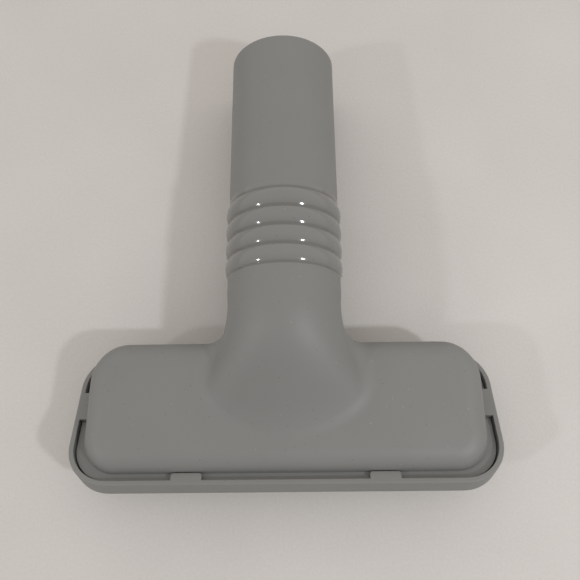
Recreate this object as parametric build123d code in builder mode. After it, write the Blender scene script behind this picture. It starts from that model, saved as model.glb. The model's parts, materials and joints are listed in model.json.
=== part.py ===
from build123d import *
import os
from math import asin, atan2, cos, degrees, hypot, radians, sin, tan

# Vacuum upholstery nozzle in millimetres, lying as it comes to rest on a table:
# on the back edge of its base frame and the lower lip of its tube.
# X runs across the head, Y towards the tube's open end, Z up.

# Tube, with stations along its axis counted from the middle of the head
tube_tilt = 19.0            # degrees between the tube's axis and the sole
axis_height = 21.0          # of the axis over the sole, at the middle of the head
tube_reach = 120.5          # station of the open end
tube_end_d = 36.5           # outside, at the open end
tube_draft = 0.22           # degrees, the tube grows towards the head
lip_r = 0.5                 # rounded outer edge of the open end
mouth_chamfer = 0.6
socket_d = 32.0             # bore that takes the vacuum's wand
socket_depth = 45.0
airway_d = 30.4             # past the socket's stop shoulder

# Grip ribs round the neck
rib_count = 4
rib_pitch = 6.33
rib_gap = 0.5               # flat between two ribs
rib_proud = 0.9
rib_root = 1.0              # how deep a rib is rooted in the wall
rib_start = 37.6            # station of the first rib's edge

# Base frame, a tray that clips over the flange round the head's foot
frame_w = 138.4
frame_d = 47.2
frame_corner_r = 13.5
frame_h = 7.95
rim_t = 1.6
sole_t = 2.4
sole_land = 12.6            # sole left round the suction slot
sole_edge_r = 0.8
land_edge_r = 0.4
slot_corner_r = 8.0
side_groove = 3.6           # between the rim and the head's foot, at the short sides
long_groove = 2.6           # and at the long sides
hook_w = 9.6
hook_t = 1.6
hook_root = 1.0             # how deep a hook is rooted in the rim
hook_corner_r = 0.9
long_hook_x = 30.8          # hooks of the long sides, each side of the middle
side_hook_y = 3.3           # hooks of the short sides, behind the middle

# Head, a wedge with rolled edges; its plan at the foot follows the frame
head_w = frame_w - 2 * (rim_t + side_groove)
head_d = frame_d - 2 * (rim_t + long_groove)
head_corner_r = 10.5
head_draft = 3.0            # degrees, front wall and short sides
head_lean = 2.6             # of the back wall outwards, from the foot to the crown
head_crown_r = 15.0         # plan corners at the crown
head_front_h = 12.1         # sloping top over the sole, at the front wall
head_back_h = 25.9          # and at the back wall, level with the crown
head_edge_r = 7.0           # rolled edge round the top
wall = 2.2
hollow_chamfer = 5.0        # broken edge round the top of the hollow

# Hump that carries the round tube down into the head, through four sections across the axis
hump_lead = 8.0             # length of plain tube in the hump
hump_start = 24.0           # station where the round form begins to change
hump_mid = 5.0
hump_mid_w = 60.0
hump_mid_h = 48.0
hump_mid_drop = 14.5        # of the section's centre below the axis
hump_end = -16.0
hump_end_w = 120.0
hump_end_h = 48.0
hump_end_drop = 26.6
blend_r = 9.0               # concave blend round the hump and the neck

# Fits between the two pieces
hook_play = 0.2             # hook over flange
hook_gap = 0.35             # hook end to the head's wall
flange_gap = 0.4            # flange edge to the rim
flange_t = 1.7
frame_relief = 0.6          # neck over the rim


# Height over the sole and place along it of a point beside the tube's axis
def beside_axis(station, radius):
    tilt = radians(tube_tilt)
    y = station * cos(tilt) - radius * sin(tilt)
    z = axis_height + station * sin(tilt) + radius * cos(tilt)
    return y, z


def tube_r(station):
    return tube_end_d / 2 + (tube_reach - station) * tan(radians(tube_draft))


# The table touches the rounded back edge of the sole and the rounded lower lip of the tube
edge_y = frame_d / 2 - sole_edge_r
lip_reach = tube_end_d / 2 - lip_r
low_lip_y, low_lip_z = beside_axis(tube_reach - lip_r, -lip_reach)
top_lip_y, top_lip_z = beside_axis(tube_reach - lip_r, lip_reach)
rise = atan2(low_lip_z - sole_edge_r, low_lip_y - edge_y)
span = hypot(low_lip_z - sole_edge_r, low_lip_y - edge_y)
rest_tilt = rise + asin((sole_edge_r - lip_r) / span)


def rest_y(y, z):
    return y * cos(rest_tilt) + z * sin(rest_tilt)


def rest_z(y, z):
    return z * cos(rest_tilt) - y * sin(rest_tilt)


front_y = rest_y(-edge_y, sole_edge_r) - sole_edge_r
back_y = rest_y(top_lip_y, top_lip_z) + lip_r
sole_lift = sole_edge_r - rest_z(edge_y, sole_edge_r)
sole = Plane((0, -(front_y + back_y) / 2, sole_lift)).rotated((-degrees(rest_tilt), 0, 0))

# Sections of the tube face the head; the profile plane holds the axis, with x along it and y up
tube_section = sole.offset(axis_height).rotated((90 + tube_tilt, 0, 0))
tube_profile = Plane(tube_section.origin, x_dir=-tube_section.z_dir, z_dir=(1, 0, 0))
tube_axis = Axis(tube_profile.origin, tube_profile.x_dir)
up = Axis(sole.origin, sole.z_dir)

# Levels over the sole
relief_z = frame_h + frame_relief
flange_top = frame_h - hook_t - hook_play
head_slope = degrees(atan2(head_back_h - head_front_h, head_d))
head_mid_h = (head_front_h + head_back_h) / 2
head_top = sole.offset(head_mid_h).rotated((head_slope, 0, 0))


# Head with its hump: the outer skin is smooth, the hollow drawn in by the wall has a plain broken edge
def head_form(inset, lead_r, foot_z, smooth):
    below = tube_end_d / 2          # the walls start low enough to blend all round the neck
    crown_rise = head_back_h - relief_z
    foot_w = head_w - 2 * inset
    foot_d = head_d - 2 * inset
    start_r = tube_r(hump_start) - inset
    with BuildPart() as form:
        for rise_z in (-below, crown_rise + wall):
            draw = rise_z * tan(radians(head_draft))
            share = rise_z / crown_rise
            front = draw - foot_d / 2
            back = foot_d / 2 + share * head_lean
            corner_r = head_corner_r + share * (head_crown_r - head_corner_r) - inset
            with BuildSketch(sole.offset(relief_z + rise_z)):
                with Locations((0, (front + back) / 2)):
                    RectangleRounded(foot_w - 2 * draw, back - front, corner_r)
        loft(ruled=True)
        split(bisect_by=head_top.offset(-inset), keep=Keep.BOTTOM)
        rim_edges = faces().sort_by(up)[-1].edges()
        if smooth:
            fillet(rim_edges, head_edge_r)
        else:
            chamfer(rim_edges, hollow_chamfer)
        sections = (
            (hump_start + hump_lead, lead_r, lead_r, 0),
            (hump_start, start_r, start_r, 0),
            (hump_mid, hump_mid_w / 2 - inset, hump_mid_h / 2 - inset, hump_mid_drop),
            (hump_end, hump_end_w / 2 - inset, hump_end_h / 2 - inset, hump_end_drop),
        )
        for station, half_w, half_h, drop in sections:
            with BuildSketch(tube_section.offset(-station)):
                with BuildLine():
                    EllipticalCenterArc((0, -drop), half_w, half_h, start_angle=270, arc_size=360)
                make_face()
        loft()
        if smooth:
            joint = edges(Select.NEW).filter_by(lambda edge: sole.to_local_coords(edge.center()).Z > 0)
            fillet(joint, blend_r)
        with BuildSketch(sole.offset(relief_z + inset)):
            Rectangle(2 * head_w, 2 * head_d)
            RectangleRounded(foot_w, foot_d, head_corner_r - inset, mode=Mode.SUBTRACT)
        extrude(amount=foot_z - relief_z - inset, mode=Mode.SUBTRACT)
        split(bisect_by=sole.offset(foot_z), keep=Keep.TOP)
    return form.part


# Nozzle body, one hollow moulding of tube, ribbed neck and head
outer_skin = head_form(0, tube_r(hump_start + hump_lead), sole_t, True)
hollow = head_form(wall, airway_d / 2, 0, False)
with BuildPart() as nozzle_body:
    add(outer_skin)
    lead_end = hump_start + hump_lead
    with BuildSketch(tube_profile):
        with BuildLine():
            Polyline(
                (lead_end, 0),
                (lead_end, tube_r(lead_end)),
                (tube_reach, tube_r(tube_reach)),
                (tube_reach, 0),
                close=True,
            )
        make_face()
    revolve(axis=tube_axis)
    fillet(edges().sort_by(tube_axis)[-1], lip_r)
    with BuildSketch(tube_profile):
        for index in range(rib_count):
            near = rib_start + index * rib_pitch
            far = near + rib_pitch - rib_gap
            middle = (near + far) / 2
            with BuildLine():
                arc = ThreePointArc(
                    (near, tube_r(near)),
                    (middle, tube_r(middle) + rib_proud),
                    (far, tube_r(far)),
                )
                Polyline(
                    arc @ 1,
                    (far, tube_r(far) - rib_root),
                    (near, tube_r(near) - rib_root),
                    arc @ 0,
                )
            make_face()
    revolve(axis=tube_axis)
    with BuildSketch(sole.offset(flange_top)):
        inset = rim_t + flange_gap
        RectangleRounded(frame_w - 2 * inset, frame_d - 2 * inset, frame_corner_r - inset)
    extrude(amount=-flange_t)
    add(hollow, mode=Mode.SUBTRACT)
    with BuildSketch(tube_section.offset(-hump_start)):
        Circle(airway_d / 2)
    extrude(amount=hump_start - tube_reach, mode=Mode.SUBTRACT)
    with BuildSketch(tube_section.offset(-tube_reach)):
        Circle(socket_d / 2)
    extrude(amount=socket_depth, mode=Mode.SUBTRACT)
    end_face = faces().sort_by(tube_axis)[-1]
    chamfer(end_face.inner_wires()[0].edges(), mouth_chamfer)

# Base frame, one moulded tray with a suction slot and hooks
with BuildPart() as base_frame:
    with BuildSketch(sole):
        RectangleRounded(frame_w, frame_d, frame_corner_r)
    extrude(amount=frame_h)
    fillet(faces().sort_by(up)[0].edges(), sole_edge_r)
    fillet(faces().sort_by(up)[-1].edges(), land_edge_r)
    with BuildSketch(sole.offset(sole_t)):
        RectangleRounded(frame_w - 2 * rim_t, frame_d - 2 * rim_t, frame_corner_r - rim_t)
    extrude(amount=frame_h - sole_t, mode=Mode.SUBTRACT)
    with BuildSketch(sole):
        RectangleRounded(frame_w - 2 * sole_land, frame_d - 2 * sole_land, slot_corner_r)
    extrude(amount=sole_t, mode=Mode.SUBTRACT)
    with BuildSketch(sole.offset(frame_h)):
        long_reach = long_groove - hook_gap
        side_reach = side_groove - hook_gap
        long_y = frame_d / 2 - rim_t + hook_root - (long_reach + hook_root) / 2
        side_x = frame_w / 2 - rim_t + hook_root - (side_reach + hook_root) / 2
        with GridLocations(2 * long_hook_x, 2 * long_y, 2, 2):
            RectangleRounded(hook_w, long_reach + hook_root, hook_corner_r)
        with Locations((side_x, side_hook_y), (-side_x, side_hook_y)):
            RectangleRounded(side_reach + hook_root, hook_w, hook_corner_r)
    extrude(amount=-hook_t)

os.makedirs("parts", exist_ok=True)
nozzle_body.part.label = "nozzle_body"
export_step(nozzle_body.part, "parts/nozzle_body.step")
base_frame.part.label = "base_frame"
export_step(base_frame.part, "parts/base_frame.step")
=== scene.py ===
import json
from math import radians

import bmesh
import bpy
from mathutils import Matrix, Vector

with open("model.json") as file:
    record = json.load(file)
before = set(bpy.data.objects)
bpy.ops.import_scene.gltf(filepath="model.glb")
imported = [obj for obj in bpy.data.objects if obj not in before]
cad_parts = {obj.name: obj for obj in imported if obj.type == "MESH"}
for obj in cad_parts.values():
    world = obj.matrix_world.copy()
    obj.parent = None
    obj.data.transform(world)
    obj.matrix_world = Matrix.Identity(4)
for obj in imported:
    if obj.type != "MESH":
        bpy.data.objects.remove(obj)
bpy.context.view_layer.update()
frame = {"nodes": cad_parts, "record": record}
print("frame loaded:", ", ".join(sorted(frame["nodes"])))

mm = 0.001  # sizes below are millimetres, the scene is metres
mounts = {mount["name"]: mount for mount in frame["record"]["mounts"]}
socket = mounts["wand_socket"]
scene = bpy.context.scene
mixFrom, mixTo, mixOut = 6, 7, 2  # colour sockets of a Mix node


def linearColour(hexCode):  # sRGB hex to the linear values that sockets take
    values = [int(hexCode[i:i + 2], 16) / 255 for i in (1, 3, 5)]
    return [v / 12.92 if v <= 0.04045 else ((v + 0.055) / 1.055) ** 2.4 for v in values] + [1.0]


def addNode(tree, kind, settings=None, values=None, links=None):
    node = tree.nodes.new(kind)
    for name, value in (settings or {}).items():
        setattr(node, name, value)
    for name, value in (values or {}).items():
        node.inputs[name].default_value = value
    for name, source in (links or {}).items():
        tree.links.new(source, node.inputs[name])
    return node


def newMaterial(name):
    material = bpy.data.materials.new(name)
    material.use_nodes = True
    material.node_tree.nodes.clear()
    return material, material.node_tree


# Moulded ABS: a spark-eroded tool leaves a fine dull grain, and the polished rib rings shine
plastic = {
    "colour": "#757574",
    "paleTone": "#7B7B7A",
    "cloudSize": 22,        # soft unevenness of the grey
    "cloudDetail": 2.0,
    "grainSize": 0.45,      # drawn coarser than the real grain, so that it shows
    "grainDetail": 3.0,
    "grainDepth": 0.012,
    "darkSpeck": {"colour": "#64625E", "spacing": 3.0, "size": 0.36, "shift": 0.0},     # stray pigment
    "paleSpeck": {"colour": "#93928E", "spacing": 3.6, "size": 0.32, "shift": 0.37},    # dust
    "dullRoughness": 0.52,
    "glossRoughness": 0.1,
    "ior": 1.53,
    "edgeRound": 0.45,      # moulded edges and the bottoms of the rib grooves are a little round
    "edgeSamples": 6,
    "ribsFrom": 55.6,       # back from the socket's mouth, along the tube
    "ribsTo": 82.9,
    "ribsFade": 0.4,
    "glossGrain": 0.06,     # share of the grain that is left on the polished ribs
    "firstGroove": 57.23,   # back from the mouth too
    "ribPitch": 6.33,
    "grooveWidth": 0.95,
    "grooveShadeDepth": 0.62,     # painted shade in the rib grooves: how far the colour goes towards the darker tone below
    "grooveShadeTone": "#585651",
}


def mouldedPlastic(name, look, ribs):
    material, tree = newMaterial(name)
    place = addNode(tree, "ShaderNodeTexCoord").outputs["Object"]
    cloud = addNode(tree, "ShaderNodeTexNoise", {},
                    {"Scale": 1 / (look["cloudSize"] * mm), "Detail": look["cloudDetail"]}, {"Vector": place})
    tone = addNode(tree, "ShaderNodeMix", {"data_type": "RGBA"},
                   {mixFrom: linearColour(look["colour"]), mixTo: linearColour(look["paleTone"])},
                   {0: cloud.outputs["Fac"]})
    colour = tone.outputs[mixOut]
    for speck in (look["darkSpeck"], look["paleSpeck"]):
        moved = addNode(tree, "ShaderNodeVectorMath", {"operation": "ADD"}, {1: [speck["shift"]] * 3},
                        {0: place})
        cells = addNode(tree, "ShaderNodeTexVoronoi", {}, {"Scale": 1 / (speck["spacing"] * mm)},
                        {"Vector": moved.outputs[0]})
        dot = addNode(tree, "ShaderNodeMath", {"operation": "LESS_THAN"},
                      {1: speck["size"] / speck["spacing"] / 2}, {0: cells.outputs["Distance"]})
        dotted = addNode(tree, "ShaderNodeMix", {"data_type": "RGBA"}, {mixTo: linearColour(speck["colour"])},
                         {0: dot.outputs[0], mixFrom: colour})
        colour = dotted.outputs[mixOut]
    grain = addNode(tree, "ShaderNodeTexNoise", {},
                    {"Scale": 1 / (look["grainSize"] * mm), "Detail": look["grainDetail"]}, {"Vector": place})
    soft = addNode(tree, "ShaderNodeBevel", {"samples": look["edgeSamples"]},
                   {"Radius": look["edgeRound"] * mm})
    bump = addNode(tree, "ShaderNodeBump", {}, {"Strength": 1.0, "Distance": look["grainDepth"] * mm},
                   {"Height": grain.outputs["Fac"], "Normal": soft.outputs["Normal"]})
    shader = addNode(tree, "ShaderNodeBsdfPrincipled", {},
                     {"IOR": look["ior"], "Roughness": look["dullRoughness"]},
                     {"Normal": bump.outputs["Normal"]})
    if ribs:
        fromMouth = addNode(tree, "ShaderNodeVectorMath", {"operation": "SUBTRACT"}, {1: socket["pos_m"]},
                            {0: place})
        along = addNode(tree, "ShaderNodeVectorMath", {"operation": "DOT_PRODUCT"},
                        {1: [-part for part in socket["axis"]]}, {0: fromMouth.outputs[0]})
        middle = (look["ribsFrom"] + look["ribsTo"]) / 2 * mm
        half = (look["ribsTo"] - look["ribsFrom"]) / 2 * mm
        fade = look["ribsFade"] * mm
        offset = addNode(tree, "ShaderNodeMath", {"operation": "SUBTRACT"}, {1: middle},
                         {0: along.outputs["Value"]})
        away = addNode(tree, "ShaderNodeMath", {"operation": "ABSOLUTE"}, {}, {0: offset.outputs[0]})
        band = addNode(tree, "ShaderNodeMapRange", {"interpolation_type": "SMOOTHSTEP"},
                       {"From Min": half - fade, "From Max": half + fade, "To Min": 1.0, "To Max": 0.0},
                       {"Value": away.outputs[0]}).outputs["Result"]
        gloss = addNode(tree, "ShaderNodeMapRange", {},
                        {"To Min": look["dullRoughness"], "To Max": look["glossRoughness"]},
                        {"Value": band})
        tree.links.new(gloss.outputs["Result"], shader.inputs["Roughness"])
        smooth = addNode(tree, "ShaderNodeMapRange", {}, {"To Min": 1.0, "To Max": look["glossGrain"]},
                         {"Value": band})
        tree.links.new(smooth.outputs["Result"], bump.inputs["Strength"])
        # Painted shade: the colour is darkened in a narrow band at each rib groove, standing in for the shade
        # that falls there
        past = addNode(tree, "ShaderNodeMath", {"operation": "SUBTRACT"}, {1: look["firstGroove"] * mm},
                       {0: along.outputs["Value"]})
        beside = addNode(tree, "ShaderNodeMath", {"operation": "PINGPONG"}, {1: look["ribPitch"] / 2 * mm},
                         {0: past.outputs[0]})
        groove = addNode(tree, "ShaderNodeMapRange", {"interpolation_type": "SMOOTHSTEP"},
                         {"From Max": look["grooveWidth"] * mm,
                          "To Min": look["grooveShadeDepth"], "To Max": 0.0},
                         {"Value": beside.outputs[0]})
        grooveShadeMask = addNode(tree, "ShaderNodeMath", {"operation": "MULTIPLY"}, {},
                       {0: groove.outputs["Result"], 1: band})
        grooveShaded = addNode(tree, "ShaderNodeMix", {"data_type": "RGBA"}, {mixTo: linearColour(look["grooveShadeTone"])},
                        {0: grooveShadeMask.outputs[0], mixFrom: colour})
        colour = grooveShaded.outputs[mixOut]
    tree.links.new(colour, shader.inputs["Base Color"])
    addNode(tree, "ShaderNodeOutputMaterial", {}, {}, {"Surface": shader.outputs["BSDF"]})
    return material


for nodeName, ribs in (("nozzle_body", True), ("base_frame", False)):
    material = mouldedPlastic("moulded ABS " + nodeName, plastic, ribs)
    piece = frame["nodes"][nodeName]
    for index in range(len(piece.material_slots)):
        piece.material_slots[index].material = material
print("plastic dressed")

# Table top under a woven cloth, pale and warm
table = {
    "size": 3000,
    "colour": "#D5D1CE",
    "deepTone": "#BCB8B5",
    "threadSize": 0.9,      # drawn coarser than real threads, so that it shows
    "threadDepth": 0.05,
    "stainSize": 60,
    "detail": 2.0,
    "roughness": 0.8,
}


def tableCloth(look):
    material, tree = newMaterial("woven table cloth")
    place = addNode(tree, "ShaderNodeTexCoord").outputs["Object"]
    weave = addNode(tree, "ShaderNodeTexNoise", {},
                    {"Scale": 1 / (look["threadSize"] * mm), "Detail": look["detail"]}, {"Vector": place})
    stain = addNode(tree, "ShaderNodeTexNoise", {},
                    {"Scale": 1 / (look["stainSize"] * mm), "Detail": look["detail"]}, {"Vector": place})
    blend = addNode(tree, "ShaderNodeMath", {"operation": "ADD"}, {},
                    {0: weave.outputs["Fac"], 1: stain.outputs["Fac"]})
    mean = addNode(tree, "ShaderNodeMath", {"operation": "MULTIPLY"}, {1: 1 / 2}, {0: blend.outputs[0]})
    tone = addNode(tree, "ShaderNodeMix", {"data_type": "RGBA"},
                   {mixFrom: linearColour(look["deepTone"]), mixTo: linearColour(look["colour"])},
                   {0: mean.outputs[0]})
    bump = addNode(tree, "ShaderNodeBump", {}, {"Strength": 1.0, "Distance": look["threadDepth"] * mm},
                   {"Height": weave.outputs["Fac"]})
    shader = addNode(tree, "ShaderNodeBsdfPrincipled", {}, {"Roughness": look["roughness"]},
                     {"Base Color": tone.outputs[mixOut], "Normal": bump.outputs["Normal"]})
    addNode(tree, "ShaderNodeOutputMaterial", {}, {}, {"Surface": shader.outputs["BSDF"]})
    return material


tableMesh = bpy.data.meshes.new("table")
sheet = bmesh.new()
bmesh.ops.create_grid(sheet, x_segments=1, y_segments=1, size=table["size"] / 2 * mm)
sheet.to_mesh(tableMesh)
sheet.free()
tableTop = bpy.data.objects.new("table", tableMesh)
scene.collection.objects.link(tableTop)
tableTop.data.materials.append(tableCloth(table))
print("table laid")

# A room a little brighter round the sides than overhead, dimmer in front, and two lamps
room = {
    "colour": "#FFFBF4",
    "overhead": 0.89,       # strength straight up
    "level": 0.98,          # strength at the height of the table
    "fadeTo": 0.9,          # upward share of a ray where the overhead strength is reached
    "frontShare": 0.62,     # of the strength, in front
    "frontFrom": -0.4,      # forward share of a ray where the dimming starts, and where it is full
    "frontTo": 0.6,
}
lamps = {
    "leftLamp": {
        "toward": (-0.70, -0.31, 0.63),
        "distance": 1200,
        "size": 76,
        "watts": 1.6,
        "colour": "#F6FAFF",
    },
    "rightLamp": {
        "toward": (0.53, -0.35, 0.75),
        "distance": 600,
        "size": 38,
        "watts": 0.86,
        "colour": "#F6FAFF",
    },
}
world = bpy.data.worlds.new("room")
scene.world = world
world.use_nodes = True
sky = world.node_tree
background = sky.nodes["Background"]
background.inputs["Color"].default_value = linearColour(room["colour"])
ray = addNode(sky, "ShaderNodeTexCoord").outputs["Generated"]
way = addNode(sky, "ShaderNodeSeparateXYZ", {}, {}, {0: ray})
height = addNode(sky, "ShaderNodeMapRange", {"interpolation_type": "SMOOTHSTEP"},
                 {"From Min": 0.0, "From Max": room["fadeTo"],
                  "To Min": room["level"], "To Max": room["overhead"]},
                 {"Value": way.outputs["Z"]})
front = addNode(sky, "ShaderNodeMapRange", {"interpolation_type": "SMOOTHSTEP"},
                {"From Min": -room["frontTo"], "From Max": -room["frontFrom"],
                 "To Min": room["frontShare"], "To Max": 1.0},
                {"Value": way.outputs["Y"]})
glow = addNode(sky, "ShaderNodeMath", {"operation": "MULTIPLY"}, {},
               {0: height.outputs["Result"], 1: front.outputs["Result"]})
sky.links.new(glow.outputs[0], background.inputs["Strength"])
for name, lamp in lamps.items():
    light = bpy.data.lights.new(name, "AREA")
    light.shape = "DISK"
    light.size = lamp["size"] * mm
    light.energy = lamp["watts"]
    light.color = linearColour(lamp["colour"])[:3]
    stand = bpy.data.objects.new(name, light)
    scene.collection.objects.link(stand)
    toward = Vector(lamp["toward"]).normalized()
    stand.location = toward * lamp["distance"] * mm
    stand.rotation_euler = toward.to_track_quat("Z", "Y").to_euler()
print("lamps lit")

# Camera held over the head, looking down and along the tube
view = {
    "place": (3.54, -56.63, 220.92),
    "down": 77.062,         # degrees below level
    "turn": 2.091,          # degrees to the left
    "roll": -2.724,
    "lens": 37.862,
    "sensor": 36.0,
    "nearest": 10,
}
camera = bpy.data.cameras.new("camera")
camera.sensor_width = view["sensor"]
camera.lens = view["lens"]
camera.clip_start = view["nearest"] * mm
holder = bpy.data.objects.new("camera", camera)
scene.collection.objects.link(holder)
aim = Matrix.Rotation(radians(view["turn"]), 4, "Z") @ Matrix.Rotation(radians(90 - view["down"]), 4, "X")
aim = aim @ Matrix.Rotation(radians(view["roll"]), 4, "Z")
holder.matrix_world = Matrix.Translation(Vector(view["place"]) * mm) @ aim
scene.camera = holder
scene.view_settings.view_transform = "Standard"
print("camera set")
